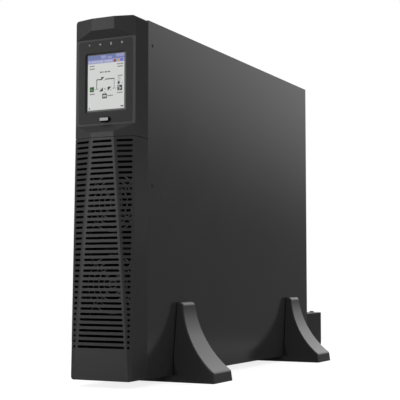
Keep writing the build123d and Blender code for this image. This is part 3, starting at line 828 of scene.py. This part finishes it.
for k in range(MARK_SIDES):
    after = (k + 1) % MARK_SIDES
    segment = [outer[k], outer[after], inner[after], inner[k]]
    print_on(marks, segment, (MARK_X, mark_y, breaker_z - MARK_RISE), BACK)
piece("breaker_marks", marks, [surface["white_ink"]], flat=True)

# Lit marks on the four status lights: mains, bypass, battery, alarm
light_low, light_high = mm_box("status_lights")
SIGN_SCALE = 1.5
LIGHT_RADIUS = 1.1
LIGHT_PITCH = (light_high.x - light_low.x - 2 * LIGHT_RADIUS) / 3
SIGNS = [
    [[
        (-0.95, -0.1), (-0.55, -0.1), (-0.2, 0.75), (0.3, -0.95),
        (0.75, -0.1), (0.95, 0.25), (0.35, -0.1), (-0.25, 1.3),
    ]],
    [[(-1.0, -0.45), (0.05, -0.45), (0.05, -1.1), (1.1, 0.0), (0.05, 1.1), (0.05, 0.45), (-1.0, 0.45)]],
    [
        [(-0.65, -1.2), (0.65, -1.2), (0.65, 0.9), (-0.65, 0.9)],
        [(-0.28, 0.95), (0.28, 0.95), (0.28, 1.3), (-0.28, 1.3)],
    ],
    [[(-1.05, 0.0), (0.0, -1.15), (1.05, 0.0), (0.0, 1.15)]],
]
light_z = middle(light_low.z, light_high.z)
signs = bmesh.new()
for count, outlines in enumerate(SIGNS):
    centre = (light_low.x + LIGHT_RADIUS + count * LIGHT_PITCH, light_low.y - PRINT, light_z)
    for ring in outlines:
        print_on(signs, [(x * SIGN_SCALE, z * SIGN_SCALE) for x, z in ring], centre, FRONT)
piece("status_marks", signs, [lit_mark], flat=True)


# Lights, floor and camera

def soft_light(name, place, target, size, watts):
    """A rectangular area lamp that looks at a point and that the camera doesn't see."""
    lamp = bpy.data.lights.new(name, "AREA")
    lamp.shape = "RECTANGLE"
    lamp.size, lamp.size_y = size
    lamp.energy = watts
    thing = bpy.data.objects.new(name, lamp)
    bpy.context.scene.collection.objects.link(thing)
    thing.location = place
    thing.rotation_euler = (Vector(target) - Vector(place)).to_track_quat("-Z", "Y").to_euler()
    thing.visible_camera = False


soft_light("key_light", place=(-1.935, -2.43, 0.9), target=(0, -0.2, 0.25), size=(1.36, 2.0), watts=31)
soft_light("top_light", place=(0.0, 0.0, 2.6), target=(0, 0, 0.2), size=(2.4, 2.4), watts=20)

# World: white to the eye, a plain level for diffuse light, and for reflections a studio wall that is dark below
# and brightens upwards and to the back, with a lamp box above
LEVEL = 0.55
WALL_DARK, WALL_LIGHT = 0.15, 0.96
WALL_START, WALL_FULL = 0.68, 0.805
LAMP_LIGHT = 0.5
LAMP_START, LAMP_FULL = 0.80, 0.87
world = bpy.data.worlds.new("studio")
bpy.context.scene.world = world
world.use_nodes = True
sky = world.node_tree
sky.nodes.clear()
add = adder(sky)


def white_light(strength):
    """A white background of a given strength."""
    node = add("ShaderNodeBackground")
    node.inputs["Color"].default_value = (1, 1, 1, 1)
    node.inputs["Strength"].default_value = strength
    return node


def either(switch, off, on):
    """The output of one shader or the other."""
    node = add("ShaderNodeMixShader")
    for socket, value in zip(node.inputs, (switch, off, on)):
        sky.links.new(value, socket)
    return node.outputs[0]


rays = add("ShaderNodeLightPath")
facing_wall = add("ShaderNodeVectorMath", operation="DOT_PRODUCT")
facing_wall.inputs[1].default_value = Vector((0.0, 1.0, 1.0)).normalized()
sky.links.new(add("ShaderNodeTexCoord").outputs["Generated"], facing_wall.inputs[0])
height = facing_wall.outputs["Value"]
eased = {"interpolation_type": "SMOOTHSTEP"}
wall = between(sky, add, height, WALL_DARK, WALL_LIGHT, WALL_START, WALL_FULL, **eased)
lamp_box = between(sky, add, height, 0.0, LAMP_LIGHT, LAMP_START, LAMP_FULL, **eased)
both = add("ShaderNodeMath", operation="ADD")
sky.links.new(wall, both.inputs[0])
sky.links.new(lamp_box, both.inputs[1])
studio = white_light(1.0)
sky.links.new(both.outputs[0], studio.inputs["Strength"])
seen = add("ShaderNodeMath", operation="MAXIMUM")
sky.links.new(rays.outputs["Is Camera Ray"], seen.inputs[0])
sky.links.new(rays.outputs["Is Transmission Ray"], seen.inputs[1])
mirrored = either(rays.outputs["Is Glossy Ray"], white_light(LEVEL).outputs[0], studio.outputs[0])
shown = either(seen.outputs[0], mirrored, white_light(1.0).outputs[0])
sky.links.new(shown, add("ShaderNodeOutputWorld").inputs["Surface"])

# Pale floor: white to the eye, with the soft shadow left in
FLOOR_RADIUS = 0.7
FLOOR_GLOW = 0.84
FLOOR_GRAIN = 300.0
ground_shape = bmesh.new()
bmesh.ops.create_circle(ground_shape, cap_ends=True, segments=96, radius=FLOOR_RADIUS)
ground_mesh = bpy.data.meshes.new("floor")
ground_shape.to_mesh(ground_mesh)
ground_shape.free()
floor = bpy.data.objects.new("floor", ground_mesh)
bpy.context.scene.collection.objects.link(floor)
floor_mat, tree, shader, add = graph("floor_paper")
paper = noise(tree, add, add("ShaderNodeTexCoord"), FLOOR_GRAIN, 3.0)
tree.links.new(coloured(tree, add, paper, grey(0.34), grey(0.37)), shader.inputs["Base Color"])
shader.inputs["Roughness"].default_value = 0.9
shader.inputs["Specular IOR Level"].default_value = 0.1
shader.inputs["Emission Color"].default_value = (1, 1, 1, 1)
eye = add("ShaderNodeMath", operation="MULTIPLY")
eye.inputs[1].default_value = FLOOR_GLOW
tree.links.new(add("ShaderNodeLightPath").outputs["Is Camera Ray"], eye.inputs[0])
tree.links.new(eye.outputs[0], shader.inputs["Emission Strength"])
ground_mesh.materials.append(floor_mat)

# Camera at the photograph's viewing angle
camera_data = bpy.data.cameras.new("camera")
camera_data.lens = 95.2
camera_data.sensor_width = 36.0
camera_data.clip_start = 0.05
camera = bpy.data.objects.new("camera", camera_data)
camera.location = (0.67462, -1.41107, 0.13081)
camera.rotation_euler = (math.radians(94.21), 0.0, math.radians(26.53))
bpy.context.scene.collection.objects.link(camera)
bpy.context.scene.camera = camera
bpy.context.scene.view_settings.view_transform = "Standard"
